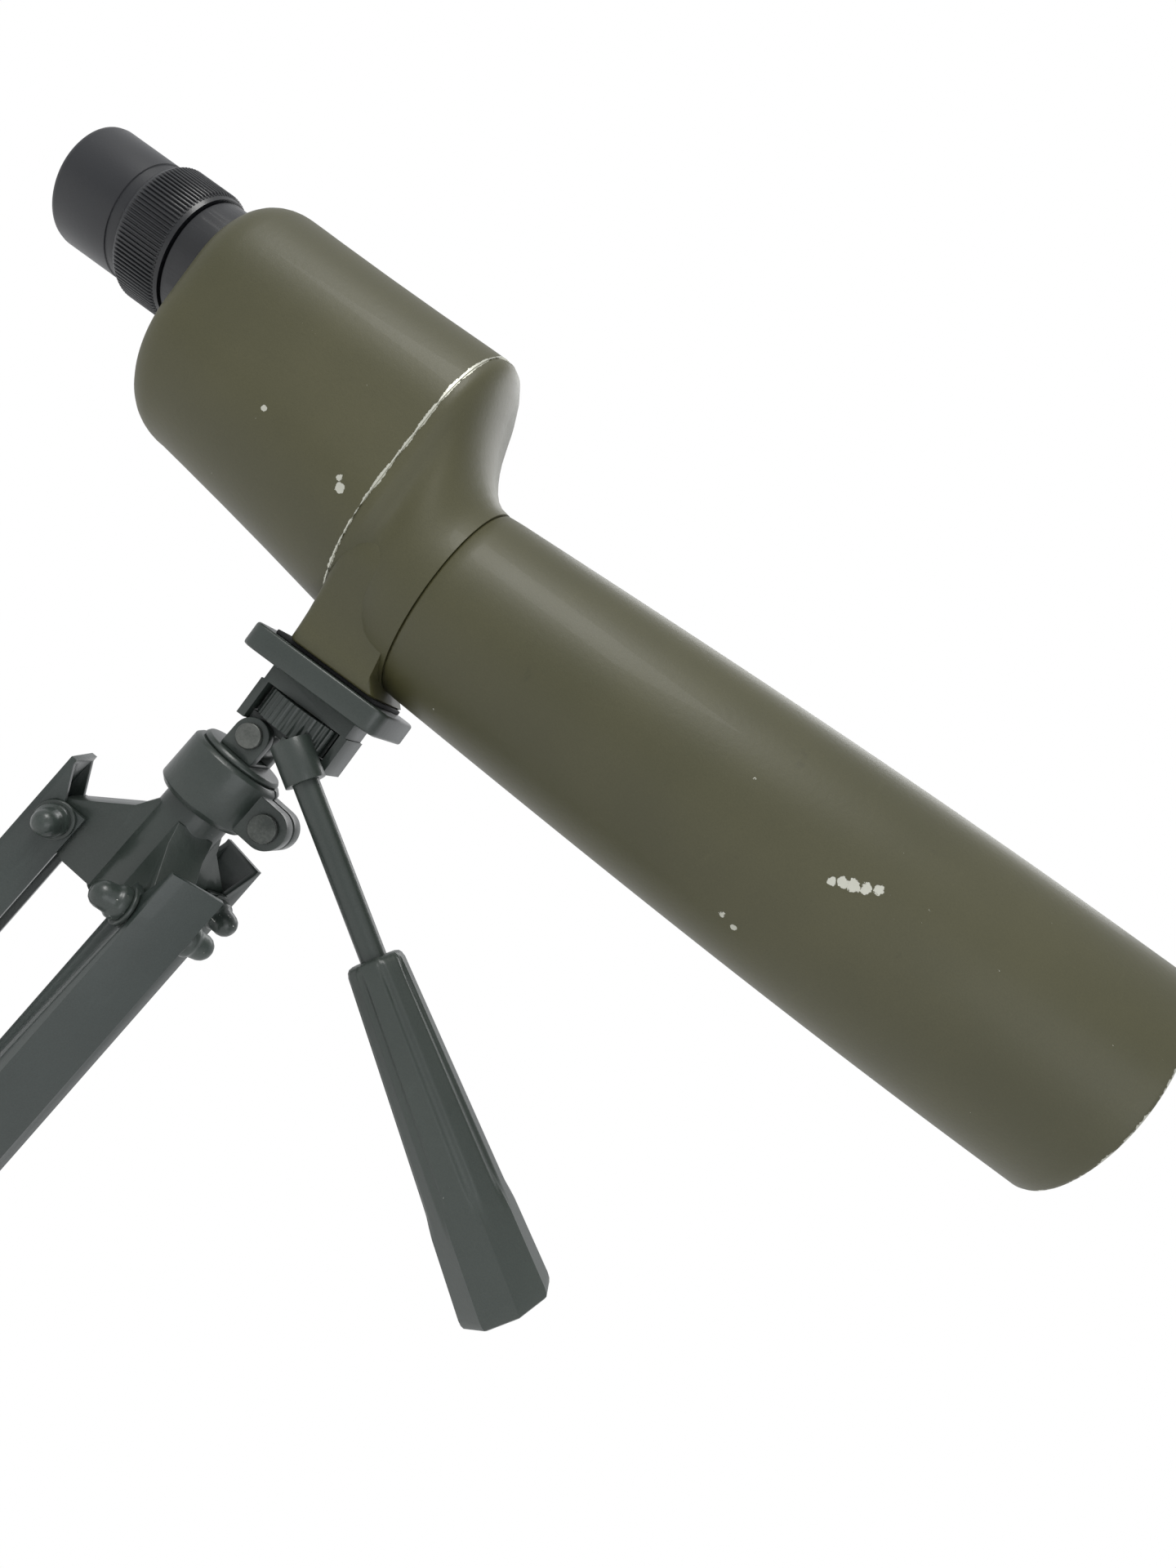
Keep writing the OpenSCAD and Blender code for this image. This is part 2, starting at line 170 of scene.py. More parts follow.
def srgb(r, g, b):
    return tuple((c / 255 / 12.92) if c < 11 else ((c / 255 + 0.055) / 1.055) ** 2.4 for c in (r, g, b))


def material(name, build, metallic=0.0, coat=0.0):
    mat = bpy.data.materials.new(name)
    mat.use_nodes = True
    tree = mat.node_tree
    shader = tree.nodes["Principled BSDF"]
    shader.inputs["Metallic"].default_value = metallic
    shader.inputs["Coat Weight"].default_value = coat
    at = Value(tree, tree.nodes.new("ShaderNodeTexCoord").outputs["Object"])
    parts = build(at)
    for key in ("Base Color", "Roughness", "Metallic"):
        if key in parts:
            tree.links.new(parts[key].socket, shader.inputs[key])
    bump = tree.nodes.new("ShaderNodeBump")
    bump.inputs["Strength"].default_value = parts.get("strength", 0.3)
    bump.inputs["Distance"].default_value = 0.0002
    tree.links.new(parts["height"].socket, bump.inputs["Height"])
    tree.links.new(bump.outputs[0], shader.inputs["Normal"])
    return mat


def worn_paint(dark, light, bare, specks, places=(), edge=None, rough=0.42, grime=0.35, orange=0.35):
    """Paint that is mottled and smeared, and chipped to bare metal in specks and at the places given."""

    def build(at):
        broad = at.noise(16.0, 6.0)
        fine = at.noise(620.0, 3.0)
        grain = at.noise(2600.0, 2.0)
        base = (broad * 0.7 + grain * 0.3).ramp(0.3, 0.72).mix(dark, light)
        smears = at.stretched((260.0, 60.0, 60.0)).noise(1.0, 6.0, 0.65)
        base = smears.ramp(0.6, 0.85, 0.0, grime).mix(base, tuple(c * 1.5 + 0.008 for c in light))
        stain = at.noise(95.0, 6.0, 0.7)
        base = stain.ramp(0.64, 0.78, 0.0, 0.4).mix(base, tuple(c * 0.5 for c in dark))
        ragged = at.noise(900.0, 4.0, 0.7)
        flecks = at.stretched((1.0, 1.0, 2.2)).noise(290.0, 5.0, 0.72)
        chips = (flecks + at.noise(45.0, 2.0) * 0.35).ramp(specks, specks + 0.012)
        for point, radius in places:
            near = 1.0 - at.away(point) * (1.0 / radius)
            chips = chips.most((near + (ragged - 0.5) * 0.9).ramp(0.24, 0.3))
        if edge:
            chips = chips.most(edge(at, ragged))
        base = chips.mix(base, bare)
        return {
            "Base Color": base,
            "Roughness": (broad * 0.22 + (rough - 0.11)) + chips * -0.06,
            "Metallic": chips * 0.75,
            "height": fine * orange + grain * 0.15 - chips * 1.6,
            "strength": 0.55,
        }

    return build


def plain(dark, light, rough, lift=0.4, spread=0.16):
    """An even finish with a fine grain."""

    def build(at):
        broad = at.noise(55.0, 5.0)
        fine = at.noise(1320.0, 4.0, 0.7)
        base = (broad * 0.75 + fine * 0.25).ramp(0.36, 0.66).mix(dark, light)
        return {
            "Base Color": base,
            "Roughness": broad * spread + (rough - spread / 2),
            "height": fine * lift,
            "strength": 0.35,
        }

    return build


casting = span("body_casting")
cover = span("prism_cover")
barrel = span("objective_barrel")
RIDGE = casting[0].x
TOP = cover[1].z
FRONT = barrel[1].x


def ridge_wear(at, ragged):
    """Bare metal along the ridge between cover and casting, more of it higher up, and on the front rim."""
    along = at.dot(FORE)
    up = at.dot(RISE)
    ridge = 1.0 - (along - (RIDGE - 0.0001)).size() * (1 / 0.0011)
    ridge = ridge + up.ramp(casting[0].z, TOP, -0.2, 0.08)
    rim = 1.0 - (along - FRONT).size() * (1 / 0.0022)
    patch = at.noise(120.0, 2.0)
    return ((ridge.most(rim - 0.02)) + (ragged - 0.5) * 1.1 + (patch - 0.5) * 1.7).ramp(0.64, 0.74)


def on_scope(x, y, z):
    """A point given from the foot of the scope's pedestal, in millimetres, as a point of the row."""
    return FROM_LEVEL @ Vector((RIDGE + (x + 11.5) * MM, y * MM, casting[0].z + z * MM))


olive = material(
    "olive_enamel",
    worn_paint(
        srgb(59, 58, 33),
        srgb(71, 69, 43),
        srgb(190, 190, 178),
        0.945,
        [
            (on_scope(128.5, -32.0, 29.5), 0.0016),
            (on_scope(130.5, -32.0, 30.6), 0.0021),
            (on_scope(133, -31.9, 31.6), 0.0024),
            (on_scope(135.5, -31.8, 32.6), 0.0023),
            (on_scope(138, -31.8, 34.0), 0.0021),
            (on_scope(140.5, -31.6, 34.6), 0.0015),
            (on_scope(92, -29.4, 37.5), 0.0012),
            (on_scope(101, -30, 38), 0.0012),
            (on_scope(97, -29.0, 40.5), 0.0009),
            (on_scope(114, -23.0, 9), 0.0015),
            (on_scope(118, -22.5, 8), 0.0013),
            (on_scope(121, -25.0, 12), 0.0011),
            (on_scope(-18, -30, 36), 0.0019),
            (on_scope(-19.5, -30, 38), 0.0012),
            (on_scope(-45, -29, 38), 0.0011),
            (on_scope(-44.6, -29, 41), 0.0011),
        ],
        ridge_wear,
        rough=0.5,
        grime=0.16,
    ),
    coat=0.03,
)
bare_light = srgb(190, 192, 186)
stand_paint = material(
    "stand_enamel",
    worn_paint(srgb(36, 43, 39), srgb(50, 57, 53), bare_light, 0.96, rough=0.38, grime=0.3, orange=0.5),
    coat=0.12,
)
leg_paint = material(
    "leg_enamel",
    worn_paint(srgb(35, 42, 39), srgb(50, 58, 55), bare_light, 0.98, rough=0.35, grime=0.35),
    coat=0.15,
)
nut_paint = material(
    "nut_enamel",
    worn_paint(srgb(36, 43, 39), srgb(60, 68, 64), srgb(216, 216, 210), 0.86, rough=0.36, grime=0.5),
    coat=0.12,
)
grip_paint = material(
    "grip_enamel",
    worn_paint(srgb(40, 47, 43), srgb(54, 61, 56), bare_light, 0.95, rough=0.42, grime=0.4),
    coat=0.08,
)
eye_black = material(
    "black_anodised",
    worn_paint(srgb(14, 15, 18), srgb(24, 26, 30), srgb(120, 125, 128), 1.0, rough=0.42, grime=0.25, orange=0.2),
    coat=0.08,
)
rib_black = material(
    "ribbed_black",
    worn_paint(srgb(16, 17, 20), srgb(30, 32, 35), srgb(150, 152, 150), 0.93, rough=0.38, grime=0.5, orange=0.2),
    coat=0.08,
)
inner_black = material("inner_black", plain(srgb(12, 12, 13), srgb(22, 22, 23), 0.75))
steel = material("bright_steel", plain(srgb(62, 66, 63), srgb(104, 106, 102), 0.36, spread=0.3), metallic=0.7)
brass = material("plain_brass", plain(srgb(120, 98, 54), srgb(160, 134, 80), 0.38), metallic=0.9)
rubber = material("foot_rubber", plain(srgb(18, 19, 20), srgb(34, 35, 36), 0.78, lift=0.9))
glass = material("optical_glass", plain(srgb(18, 26, 34), srgb(30, 40, 52), 0.06, lift=0.02, spread=0.03), coat=0.6)

FINISH = {
    "stand_enamel": stand_paint,
    "leg_enamel": leg_paint,
    "grip_enamel": grip_paint,
    "olive_enamel": olive,
    "black_anodised": eye_black,
    "inner_black": inner_black,
    "bright_steel": steel,
    "plain_brass": brass,
    "foot_rubber": rubber,
    "optical_glass": glass,
}
slot_of = {s["node"]: s["material_slot"] for s in record["subparts"]}
body_of = {n: b for b, nodes in record["behaviour"]["bodies"].items() for n in nodes}
for name, node in frame["nodes"].items():
    node.data.materials.clear()
    node.data.materials.append(FINISH[slot_of[name]])


# ---- building pieces ----


def finish(mesh, name, nodes, mat=None, smooth=40.0):
    """Turns a mesh into a piece that stands for the named nodes and rides on their body."""
    for face in mesh.polygons:
        face.use_smooth = True
    mesh.set_sharp_from_angle(angle=math.radians(smooth))
    obj = bpy.data.objects.new(name, mesh)
    bpy.context.scene.collection.objects.link(obj)
    mesh.materials.clear()
    mesh.materials.append(mat or FINISH[slot_of[nodes[0]]])
    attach(obj, body_of[nodes[0]])
    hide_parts(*nodes)
    return obj


def as_mesh(bm, name):
    bmesh.ops.recalc_face_normals(bm, faces=bm.faces)
    mesh = bpy.data.meshes.new(name)
    bm.to_mesh(mesh)
    bm.free()
    return mesh


EASE_ANGLE = 28.0


def eased(node, width, segments=2, mat=None):
    """A copy of a node with its edges rounded over, as cast, bent or turned metal has them."""
    bm = bmesh.new()
    bm.from_mesh(bpy.data.objects[node].data)
    bmesh.ops.remove_doubles(bm, verts=bm.verts, dist=2e-6)
    bmesh.ops.dissolve_limit(bm, angle_limit=math.radians(1.0), verts=bm.verts, edges=bm.edges)
    mesh = bpy.data.meshes.new(node)
    bm.to_mesh(mesh)
    bm.free()
    helper = bpy.data.objects.new("helper", mesh)
    bpy.context.scene.collection.objects.link(helper)
    bevel = helper.modifiers.new("ease", "BEVEL")
    bevel.width = width
    bevel.segments = segments
    bevel.limit_method = "ANGLE"
    bevel.angle_limit = math.radians(EASE_ANGLE)
    bevel.harden_normals = False
    done = bpy.data.meshes.new_from_object(helper.evaluated_get(bpy.context.evaluated_depsgraph_get()))
    bpy.data.objects.remove(helper)
    return finish(done, node + "_eased", [node], mat)


def skin(rings, closed=False):
    """Joins rings of points with quads, and fills both ends unless the last ring meets the first."""
    bm = bmesh.new()
    rows = [[bm.verts.new(p) for p in ring] for ring in rings]
    count = len(rows[0])
    pairs = list(zip(rows, rows[1:])) + ([(rows[-1], rows[0])] if closed else [])
    for a, b in pairs:
        for i in range(count):
            j = (i + 1) % count
            bm.faces.new((a[i], a[j], b[j], b[i]))
    if not closed:
        bm.faces.new(rows[0])
        bm.faces.new(rows[-1])
    return bm


def merged(name, *meshes):
    """One mesh made of several."""
    bm = bmesh.new()
    for mesh in meshes:
        bm.from_mesh(mesh)
    whole = bpy.data.meshes.new(name)
    bm.to_mesh(whole)
    bm.free()
    return whole


def turned(profile, z, steps=128):
    """A lathe shape about a level axis at height z; profile is a closed list of (radius, level x)."""
    rings = []
    for r, x in profile:
        ring = []
        for i in range(steps):
            a = 2 * math.pi * i / steps
            ring.append(FROM_LEVEL @ Vector((x, r * math.cos(a), z + r * math.sin(a))))
        rings.append(ring)
    return skin(rings, closed=True)


def rounded(points, radius, steps=4):
    """Rounds the convex and concave corners of a closed profile."""
    out = []
    count = len(points)
    for i, p in enumerate(points):
        p = Vector(p)
        a = Vector(points[i - 1]) - p
        b = Vector(points[(i + 1) % count]) - p
        turn = a.angle(b)
        if turn > math.radians(160):
            out.append(p)
            continue
        reach = min(radius, 0.45 * a.length, 0.45 * b.length)
        start, end = p + a.normalized() * reach, p + b.normalized() * reach
        for k in range(steps + 1):
            t = k / steps
            out.append(start * (1 - t) ** 2 + p * (2 * t * (1 - t)) + end * t * t)
    return [tuple(p) for p in out]


# ---- prism housing ----

# The outline is two circles wrapped by a belt. Radii and heights over the pedestal's foot, in millimetres.
TOP_R = 28.5
TOP_CENTRE = 62
REAR_R = 28.5
REAR_CENTRE = 48.5
RIDGE_R = 30
RIDGE_CENTRE = 40
HALF_WAY = 52
DOME = 9
DOME_INSET = 5.8
WALL = 3.0
NECK_BORE = 17
BARREL_ROOT = 27.8


def outline(top_z, top_r, low_z, low_r, count=120):
    """Points round two circles wrapped by a belt, evenly spaced, as (left, up)."""
    lean = math.asin((low_r - top_r) / (top_z - low_z))
    points = []
    for k in range(49):
        a = lean + (math.pi - 2 * lean) * k / 48
        points.append((top_r * math.cos(a), top_z + top_r * math.sin(a)))
    for k in range(49):
        a = math.pi - lean + (math.pi + 2 * lean) * k / 48
        points.append((low_r * math.cos(a), low_z + low_r * math.sin(a)))
    points.append(points[0])
    p = np.array(points)
    along = np.concatenate([[0], np.cumsum(np.linalg.norm(np.diff(p, axis=0), axis=1))])
    at = np.linspace(0, along[-1], count, endpoint=False)
    return list(zip(np.interp(at, along, p[:, 0]), np.interp(at, along, p[:, 1])))


base = casting[0].z


def slab(x, low_centre, low_r, shrink):
    """The housing's outline at level x, drawn in by shrink."""
    ring = outline(
        base + TOP_CENTRE * MM, (TOP_R - shrink) * MM, base + low_centre * MM, (low_r - shrink) * MM
    )
    return [FROM_LEVEL @ Vector((x, y, z)) for y, z in ring]


rear = cover[0].x
rings = []
for k in range(8, -1, -1):
    a = math.pi / 2 * k / 8
    rings.append(slab(rear + (1 - math.sin(a)) * DOME * MM, REAR_CENTRE, REAR_R, (1 - math.cos(a)) * DOME_INSET))
for k in range(1, 13):
    t = k / 12
    x = rear + DOME * MM + (RIDGE - rear - DOME * MM) * t
    ease = 0.55 * math.sin(math.pi * min(1.0, t * 1.05)) if t < 0.95 else 0.0
    low_centre = REAR_CENTRE + (RIDGE_CENTRE - REAR_CENTRE) * t
    rings.append(slab(x, low_centre, REAR_R + (RIDGE_R - REAR_R) * t, ease * 0.5))
inner = [
    slab(RIDGE, RIDGE_CENTRE, RIDGE_R, 2.2),
    slab(RIDGE - 20 * MM, 42.5, 29.5, WALL),
    slab(rear + 12 * MM, REAR_CENTRE, REAR_R, WALL),
    slab(rear + 3 * MM, REAR_CENTRE, REAR_R, 8.5),
]


def bored(x, radius):
    """The ring where the eyepiece's bore meets the rear wall, with its points in step with the outline's."""
    ring = []
    face_r = (TOP_R - DOME_INSET) * MM
    for y, z in outline(base + TOP_CENTRE * MM, face_r, base + REAR_CENTRE * MM, face_r):
        angle = math.atan2(z - EYE_Z, y)
        ring.append(FROM_LEVEL @ Vector((x, radius * math.cos(angle), EYE_Z + radius * math.sin(angle))))
    return ring


rings.insert(0, bored(rear, NECK_BORE * MM))
inner.append(bored(rear + 2.6 * MM, NECK_BORE * MM))
finish(as_mesh(skin(rings + inner, closed=True), "cover_shell"), "cover_shell", ["prism_cover"], smooth=50)


def blend_ring(x, t, shrink):
    """A ring between the housing's outline and the round root of the barrel."""
    low_centre = base + RIDGE_CENTRE * MM
    ring = []
    for y, z in outline(base + TOP_CENTRE * MM, (TOP_R - shrink) * MM, low_centre, (RIDGE_R - shrink) * MM):
        way = np.array([y, z - base - HALF_WAY * MM])
        root = np.array([0.0, OBJ_Z]) + way / np.linalg.norm(way) * (BARREL_ROOT * MM)
        ring.append(FROM_LEVEL @ Vector((x, y * (1 - t) + root[0] * t, z * (1 - t) + root[1] * t)))
    return ring


# distance from the ridge, share of the way to round, and how far the outline is drawn in
SWEEP = [
    (0.0, 0.0, 0.35),
    (1.6, 0.0, 0.2),
    (3.2, 0.01, 0.8),
    (4.8, 0.05, 2.0),
    (6.4, 0.14, 3.0),
    (8.0, 0.30, 3.4),
    (9.6, 0.47, 3.0),
    (11.4, 0.62, 2.4),
    (13.4, 0.75, 1.7),
    (15.6, 0.86, 1.0),
    (18.0, 0.94, 0.4),
    (20.6, 0.985, 0.1),
    (23.5, 1.0, 0.0),
]
root_x = barrel[0].x + 3.2 * MM
length = root_x - RIDGE
rings = [blend_ring(RIDGE + length * x / SWEEP[-1][0], t, s) for x, t, s in SWEEP]

# the square foot under the casting, with soft corners: height, and how far its sides spread
FOOT_ROWS = (
    (0.0, -0.5),
    (0.5, 0.0),
    (4.0, 0.4),
    (8.0, 1.2),
    (12.0, 2.6),
    (16.0, 4.4),
    (20.0, 6.4),
    (24.0, 8.2),
    (28.0, 9.2),
    (34.0, 8.0),
)
x0, x1, half = RIDGE + 0.3 * MM, RIDGE + 26.5 * MM, 17 * MM
corners = rounded([(x0, -half), (x1, -half), (x1, half), (x0, half)], 2.5 * MM, 5)
mid = (x0 + x1) / 2
foot_rows = []
for z, grow in FOOT_ROWS:
    row = []
    for x, y in corners:
        scale_x = 1 + min(grow, 0.0) * MM / ((x1 - x0) / 2)
        scale_y = 1 + grow * MM / half
        limit = min(x1, root_x + (3.2 if z < 3 else -0.3 - z * 0.12) * MM)
        row.append(FROM_LEVEL @ Vector((min(mid + (x - mid) * scale_x, limit), y * scale_y, base + z * MM)))
    foot_rows.append(row)
foot_mesh = as_mesh(skin(foot_rows), "foot_part")
casting_mesh = as_mesh(skin(rings), "casting_part")
finish(merged("front_casting", casting_mesh, foot_mesh), "front_casting", ["body_casting"], smooth=50)

# ---- objective barrel ----

RIM_R = 33.8 * MM
FLARE = 6.0
CELL_BORE = 31.5 * MM
BARREL_STEPS = 48
BARREL_WALL = 2 * MM


def flare(t):
    """The barrel's radius at a share t of its length."""
    return (BARREL_ROOT + FLARE * math.sin(math.radians(90 * min(1.0, t * 1.06)))) * MM


outer = [(flare(0) - 0.7 * MM, root_x + 0.1 * MM), (flare(0) - 0.1 * MM, root_x + 0.8 * MM)]
for k in range(1, BARREL_STEPS):
    t = k / BARREL_STEPS
    outer.append((flare(t), root_x + (FRONT - root_x) * t))
outer += [(RIM_R, FRONT - 1.3 * MM), (RIM_R - 0.35 * MM, FRONT - 0.4 * MM), (RIM_R - 1.0 * MM, FRONT)]
inside = [
    (CELL_BORE + 0.5 * MM, FRONT),
    (CELL_BORE, FRONT - 0.6 * MM),
    (CELL_BORE, FRONT - 12 * MM),
    (CELL_BORE, FRONT - 27.5 * MM),
    (flare(0.7) - BARREL_WALL, FRONT - 62 * MM),
    (flare(0.3) - BARREL_WALL, FRONT - 140 * MM),
    (24.6 * MM, root_x + 1 * MM),
]
finish(as_mesh(turned(outer + inside, OBJ_Z, 160), "barrel_tube"), "barrel_tube", ["objective_barrel"], smooth=45)

# ---- eyepiece ----

EYE_HOLE = 10.4 * MM
LENS_SEAT = 12.6 * MM
FIELD_HOLE = 11.0 * MM
SKIRT_BORE = 15.0 * MM
CUP_R = 16.6 * MM
RECESS = 4.6 * MM
RECESS_R = 16.9 * MM
RING_BORE = 14.7 * MM

eye = span("eyecup_tube")
ring = span("focus_ring")
eye_x = eye[0].x
cup_end = ring[0].x + 1.2 * MM
skirt = ring[0].x - 3.6 * MM
cup = [
    (EYE_HOLE, eye_x + 3 * MM),
    (EYE_HOLE, eye_x + 1.2 * MM),
    (12.5 * MM, eye_x + 0.9 * MM),
    (14.0 * MM, eye_x + 0.2 * MM),
    (14.8 * MM, eye_x),
    (CUP_R - 0.9 * MM, eye_x + 0.15 * MM),
    (CUP_R - 0.25 * MM, eye_x + 0.7 * MM),
    (CUP_R, eye_x + 1.6 * MM),
    (CUP_R, skirt),
    (CUP_R - 0.3 * MM, skirt + 0.2 * MM),
    (CUP_R - 0.3 * MM, cup_end),
    (SKIRT_BORE, cup_end),
    (SKIRT_BORE, skirt),
    (LENS_SEAT, skirt),
    (LENS_SEAT, eye[1].x),
    (FIELD_HOLE, eye[1].x),
    (FIELD_HOLE, eye_x + 3 * MM),
]
finish(as_mesh(turned(cup, EYE_Z, 128), "eyecup"), "eyecup", ["eyecup_tube"])

ring_x0, ring_x1 = ring[0].x, ring[1].x
rib_r = ring[1].y - 0.05 * MM
body = [
    (RING_BORE, ring_x0 + RECESS),
    (RECESS_R, ring_x0 + RECESS),
    (RECESS_R, ring_x0),
    (rib_r - 1.3 * MM, ring_x0),
    (rib_r - 0.9 * MM, ring_x0 + 0.5 * MM),
    (rib_r - 0.55 * MM, ring_x0 + 1.2 * MM),
    (rib_r - 0.55 * MM, ring_x1 - 1.4 * MM),
    (rib_r - 1.0 * MM, ring_x1),
    (RING_BORE, ring_x1),
]
core_mesh = as_mesh(turned(body, EYE_Z, 128), "ring_core")


def group(name, mesh, count, radius, mat):
    """A node group that sets copies of a rib round a circle in the XY plane, each facing out."""
    tree = bpy.data.node_groups.new(name, "GeometryNodeTree")
    tree.interface.new_socket("Geometry", in_out="OUTPUT", socket_type="NodeSocketGeometry")
    tree.interface.new_socket("Count", in_out="INPUT", socket_type="NodeSocketInt")
    tree.interface.new_socket("Radius", in_out="INPUT", socket_type="NodeSocketFloat")
    tree.interface.new_socket("Rib", in_out="INPUT", socket_type="NodeSocketObject")
    make = tree.nodes.new
    source, end = make("NodeGroupInput"), make("NodeGroupOutput")
    circle, rib = make("GeometryNodeMeshCircle"), make("GeometryNodeObjectInfo")
    place = make("GeometryNodeInstanceOnPoints")
    where, turn = make("GeometryNodeInputPosition"), make("FunctionNodeAlignRotationToVector")
    real, paint = make("GeometryNodeRealizeInstances"), make("GeometryNodeSetMaterial")
    turn.axis = "X"
    paint.inputs["Material"].default_value = mat
    link = tree.links.new
    link(source.outputs["Count"], circle.inputs["Vertices"])
    link(source.outputs["Radius"], circle.inputs["Radius"])
    link(source.outputs["Rib"], rib.inputs["Object"])
    link(circle.outputs["Mesh"], place.inputs["Points"])
    link(rib.outputs["Geometry"], place.inputs["Instance"])
    link(where.outputs[0], turn.inputs["Vector"])
    link(turn.outputs[0], place.inputs["Rotation"])
    link(place.outputs[0], real.inputs[0])
    link(real.outputs[0], paint.inputs["Geometry"])
    link(paint.outputs[0], end.inputs["Geometry"])
    rib_obj = bpy.data.objects.new(name + "_rib", mesh)
    bpy.context.scene.collection.objects.link(rib_obj)
    holder = bpy.data.objects.new(name + "_holder", bpy.data.meshes.new(name + "_empty"))
    bpy.context.scene.collection.objects.link(holder)
    modifier = holder.modifiers.new(name, "NODES")
    modifier.node_group = tree
    values = {"Count": count, "Radius": radius, "Rib": rib_obj}
    for item in tree.interface.items_tree:
        if item.in_out == "INPUT":
            modifier[item.identifier] = values[item.name]
    bpy.context.view_layer.update()
    out = bpy.data.meshes.new_from_object(holder.evaluated_get(bpy.context.evaluated_depsgraph_get()))
    holder.modifiers.clear()
    bpy.data.objects.remove(holder)
    bpy.data.objects.remove(rib_obj)
    return out


RIB_COUNT = 100
RIB_TAPER = 0.7 * MM
RIB_DROP = 0.45


def rib_section(drop):
    """A rib's rounded section, its crest lowered by drop."""
    half = [(-1.0, 0.42), (-0.35 - drop, 0.38), (-0.05 - drop, 0.2)]
    return [(x, -y) for x, y in half] + [(-drop, 0.0)] + half[::-1]


reach = (ring_x1 - ring_x0 - 2.2 * MM) / 2
rib_rows = []
for z, drop in ((-reach, RIB_DROP), (-reach + RIB_TAPER, 0.0), (reach - RIB_TAPER, 0.0), (reach, RIB_DROP)):
    rib_rows.append([(x * MM, y * MM, z) for x, y in rib_section(drop)])
rib_mesh = as_mesh(skin(rib_rows), "rib")
ribs = group("ring_ribs", rib_mesh, RIB_COUNT, rib_r, rib_black)
# the group's circle lies in XY: stand it across the scope's axis
ring_middle = FROM_LEVEL @ Vector(((ring_x0 + ring_x1) / 2, 0, EYE_Z))
basis = Matrix((LEFT, RISE, FORE)).transposed().to_4x4()
ribs.transform(Matrix.Translation(ring_middle) @ basis)
finish(merged("knurled_ring", core_mesh, ribs), "knurled_ring", ["focus_ring"], rib_black, smooth=35)

# ---- handle grip ----

GRIP_R = 7.7
GRIP_SPREAD = 4.6
FLUTE_DEPTH = 0.9
FLUTE_END = 0.74

axis = Vector(joints["handle_twist"]["axis"]).normalized()
start = Vector(joints["handle_twist"]["pos_m"])
side = LEFT
up = side.cross(axis).normalized()
grip_co = np.array([v.co for v in bpy.data.objects["handle_grip"].data.vertices])
along = (grip_co - np.array(start)) @ np.array(axis)
g0, g1 = along.min(), along.max()


def grip_radius(t, a):
    """Eight soft facets, with flutes sunk between them that run out before the wide end."""
    r = (GRIP_R + GRIP_SPREAD * t) * MM
    facet = math.cos(((a + math.pi / 8) % (math.pi / 4)) - math.pi / 8)
    flute = max(0.0, math.cos(8 * a + math.pi)) ** 3
    fade = min(1.0, max(0.0, (FLUTE_END - t) / 0.1)) * min(1.0, t / 0.05)
    return r * (math.cos(math.pi / 8) / facet) - flute * fade * FLUTE_DEPTH * MM


rings = []
stations = [(0.0, 0.72), (0.004, 0.86), (0.012, 0.95), (0.025, 1.0)]
stations += [(0.025 + 0.945 * k / 30, 1.0) for k in range(1, 31)]
stations += [(0.985, 0.985), (0.995, 0.95), (1.0, 0.88)]
for t, scale in stations:
    centre = start + axis * (g0 + (g1 - g0) * t)
    ring_points = []
    for i in range(160):
        a = 2 * math.pi * i / 160
        r = grip_radius(t, a) * scale
        ring_points.append(centre + side * (r * math.cos(a)) + up * (r * math.sin(a)))
    rings.append(ring_points)
finish(as_mesh(skin(rings), "fluted_grip"), "fluted_grip", ["handle_grip"], smooth=30)

# ---- pieces that keep the frame's shape, with eased edges ----

for name, width, segments in (
    ("hub", 0.9, 3),
    ("azimuth_drum", 0.5, 2),
    ("azimuth_disc", 0.25, 2),
    ("tilt_yoke", 0.5, 2),
    ("tilt_neck", 0.5, 2),
    ("top_plate", 0.9, 3),
    ("plate_pad", 0.3, 2),
    ("thumb_wheel", 0.18, 1),
    ("leg_rear", 0.7, 3),
    ("leg_left", 0.7, 3),
    ("leg_right", 0.7, 3),
    ("foot_rear", 0.9, 3),
    ("foot_left", 0.9, 3),
    ("foot_right", 0.9, 3),
    ("washers", 0.25, 2),
    ("clamp_screw", 0.3, 2),
    ("tilt_pin", 0.4, 2),
    ("eyepiece_neck", 0.3, 2),
):
    eased(name, width * MM, segments)
eased("acorn_nuts", 0.35 * MM, 2, nut_paint)

# ---- stage, light and camera ----

bpy.ops.mesh.primitive_plane_add(size=8.0, location=(0, 0, cad_box[0][2] - 0.0002))
floor = bpy.context.object
floor.name = "floor"
floor_mat = bpy.data.materials.new("floor_white")
floor_mat.use_nodes = True
floor_shader = floor_mat.node_tree.nodes["Principled BSDF"]
floor_shader.inputs["Base Color"].default_value = (0.86, 0.86, 0.86, 1)
floor_shader.inputs["Roughness"].default_value = 0.9
floor.data.materials.append(floor_mat)


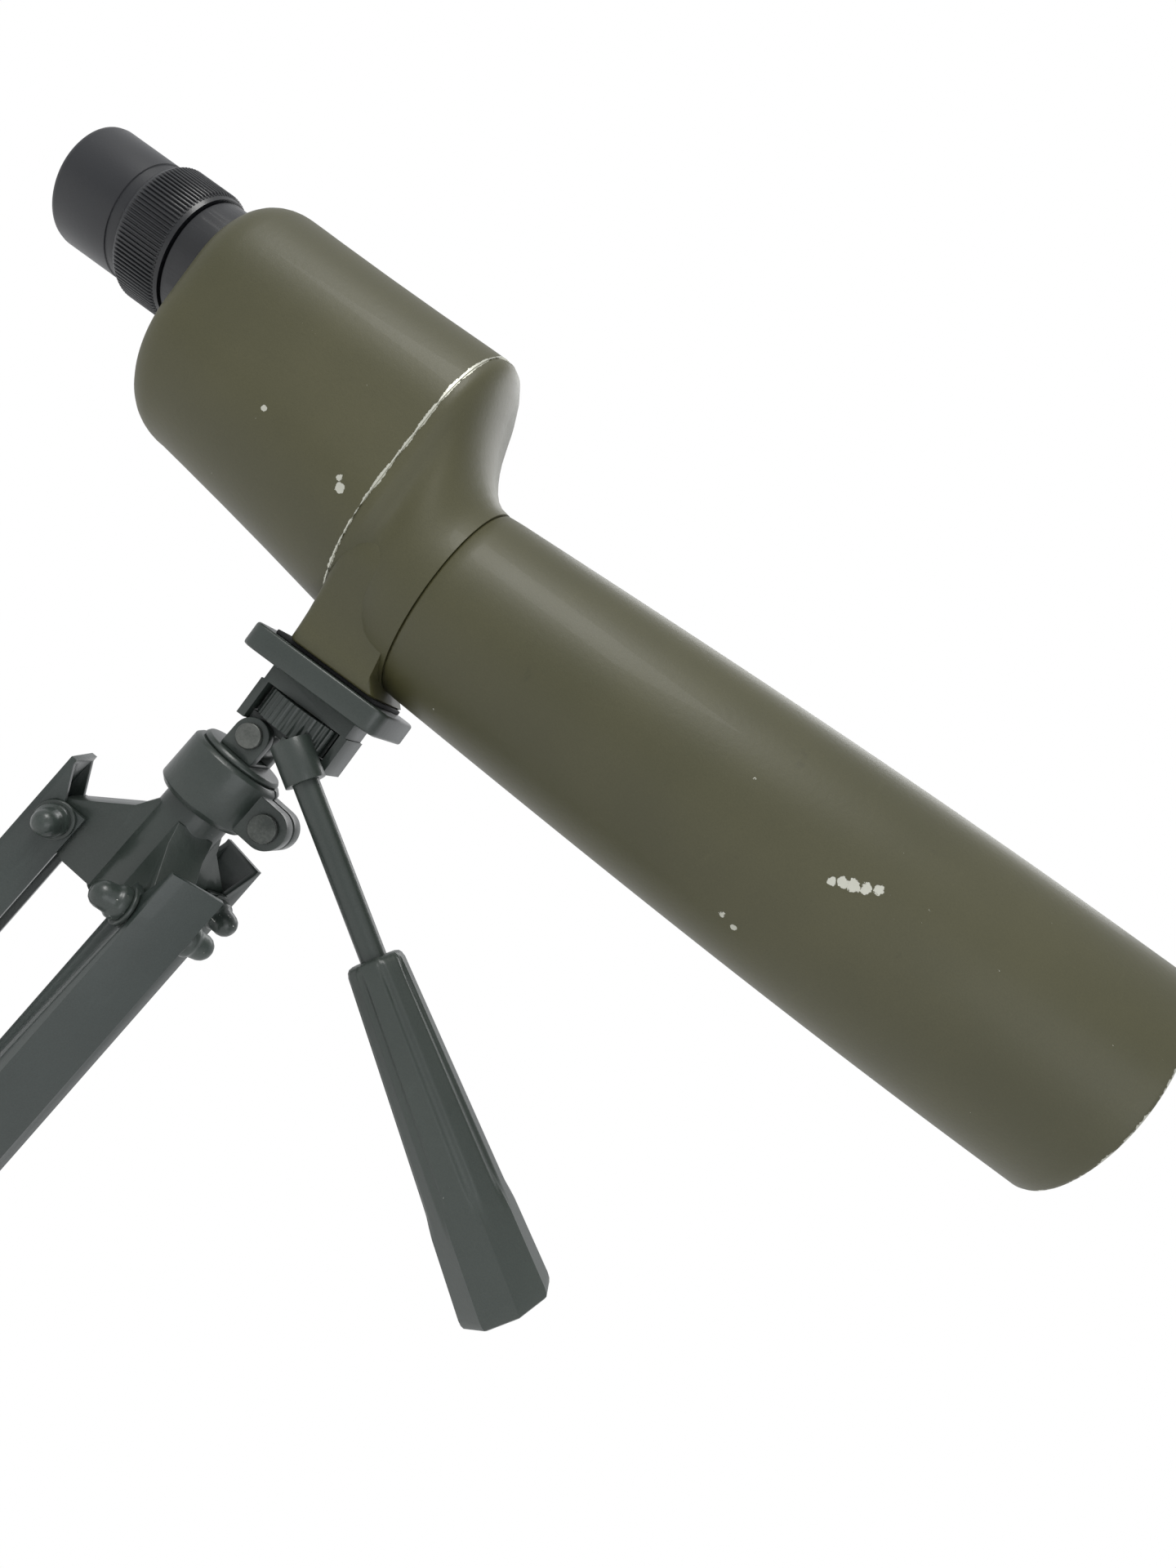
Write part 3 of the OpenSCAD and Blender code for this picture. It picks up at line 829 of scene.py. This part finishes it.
def seen_white(tree, plain_shader, surface):
    """Shows plain white to the camera and gives everything else the plain shader."""
    path = tree.nodes.new("ShaderNodeLightPath")
    glow = tree.nodes.new("ShaderNodeEmission" if surface else "ShaderNodeBackground")
    glow.inputs["Color"].default_value = (1.0, 1.0, 1.0, 1.0)
    both = tree.nodes.new("ShaderNodeMixShader")
    tree.links.new(path.outputs["Is Camera Ray"], both.inputs[0])
    tree.links.new(plain_shader.outputs[0], both.inputs[1])
    tree.links.new(glow.outputs[0], both.inputs[2])
    end = next(n for n in tree.nodes if n.type == ("OUTPUT_MATERIAL" if surface else "OUTPUT_WORLD"))
    tree.links.new(both.outputs[0], end.inputs["Surface"])


seen_white(floor_mat.node_tree, floor_shader, True)

world = bpy.data.worlds.new("studio")
bpy.context.scene.world = world
world.use_nodes = True
world.node_tree.nodes["Background"].inputs["Color"].default_value = (0.93, 0.94, 0.96, 1)
world.node_tree.nodes["Background"].inputs["Strength"].default_value = 0.8
seen_white(world.node_tree, world.node_tree.nodes["Background"], False)

middle = (Vector(cad_box[0]) + Vector(cad_box[1])) / 2


def softbox(name, offset, size, energy, colour=(1, 1, 1)):
    light = bpy.data.lights.new(name, "AREA")
    light.shape = "RECTANGLE"
    light.size, light.size_y = size
    light.energy = energy
    light.color = colour
    lamp = bpy.data.objects.new(name, light)
    lamp.location = middle + Vector(offset)
    lamp.rotation_euler = (-Vector(offset)).to_track_quat("-Z", "Y").to_euler()
    bpy.context.scene.collection.objects.link(lamp)


softbox("key", (-0.35, -0.5, 0.95), (0.5, 0.35), 6.0, (1.0, 0.99, 0.97))
softbox("fill", (0.7, -0.9, 0.2), (0.7, 0.7), 2.4, (0.95, 0.97, 1.0))
softbox("back", (0.1, 0.9, 0.7), (0.8, 0.4), 3.0)

# where the camera stands from the middle of the rim, in millimetres
BACK, AWAY, BELOW = 125.6, 291.6, 16.0
eye_at = RIM - FORE * (BACK * MM) - LEFT * (AWAY * MM) - RISE * (BELOW * MM)
yaw, roll = math.radians(3.0), math.radians(36.3)
view = FORE * -math.sin(yaw) + LEFT * math.cos(yaw)
flat = FORE * math.cos(yaw) + LEFT * math.sin(yaw)
right = flat * math.cos(roll) + RISE * math.sin(roll)
above = flat * -math.sin(roll) + RISE * math.cos(roll)
cam_data = bpy.data.cameras.new("camera")
cam_data.lens = 26.0
cam_data.sensor_width = 36.0
cam_data.clip_start = 0.01
camera = bpy.data.objects.new("camera", cam_data)
camera.matrix_world = Matrix.Translation(eye_at) @ Matrix((right, above, -view)).transposed().to_4x4()
bpy.context.scene.collection.objects.link(camera)
bpy.context.scene.camera = camera
bpy.context.scene.view_settings.view_transform = "Standard"
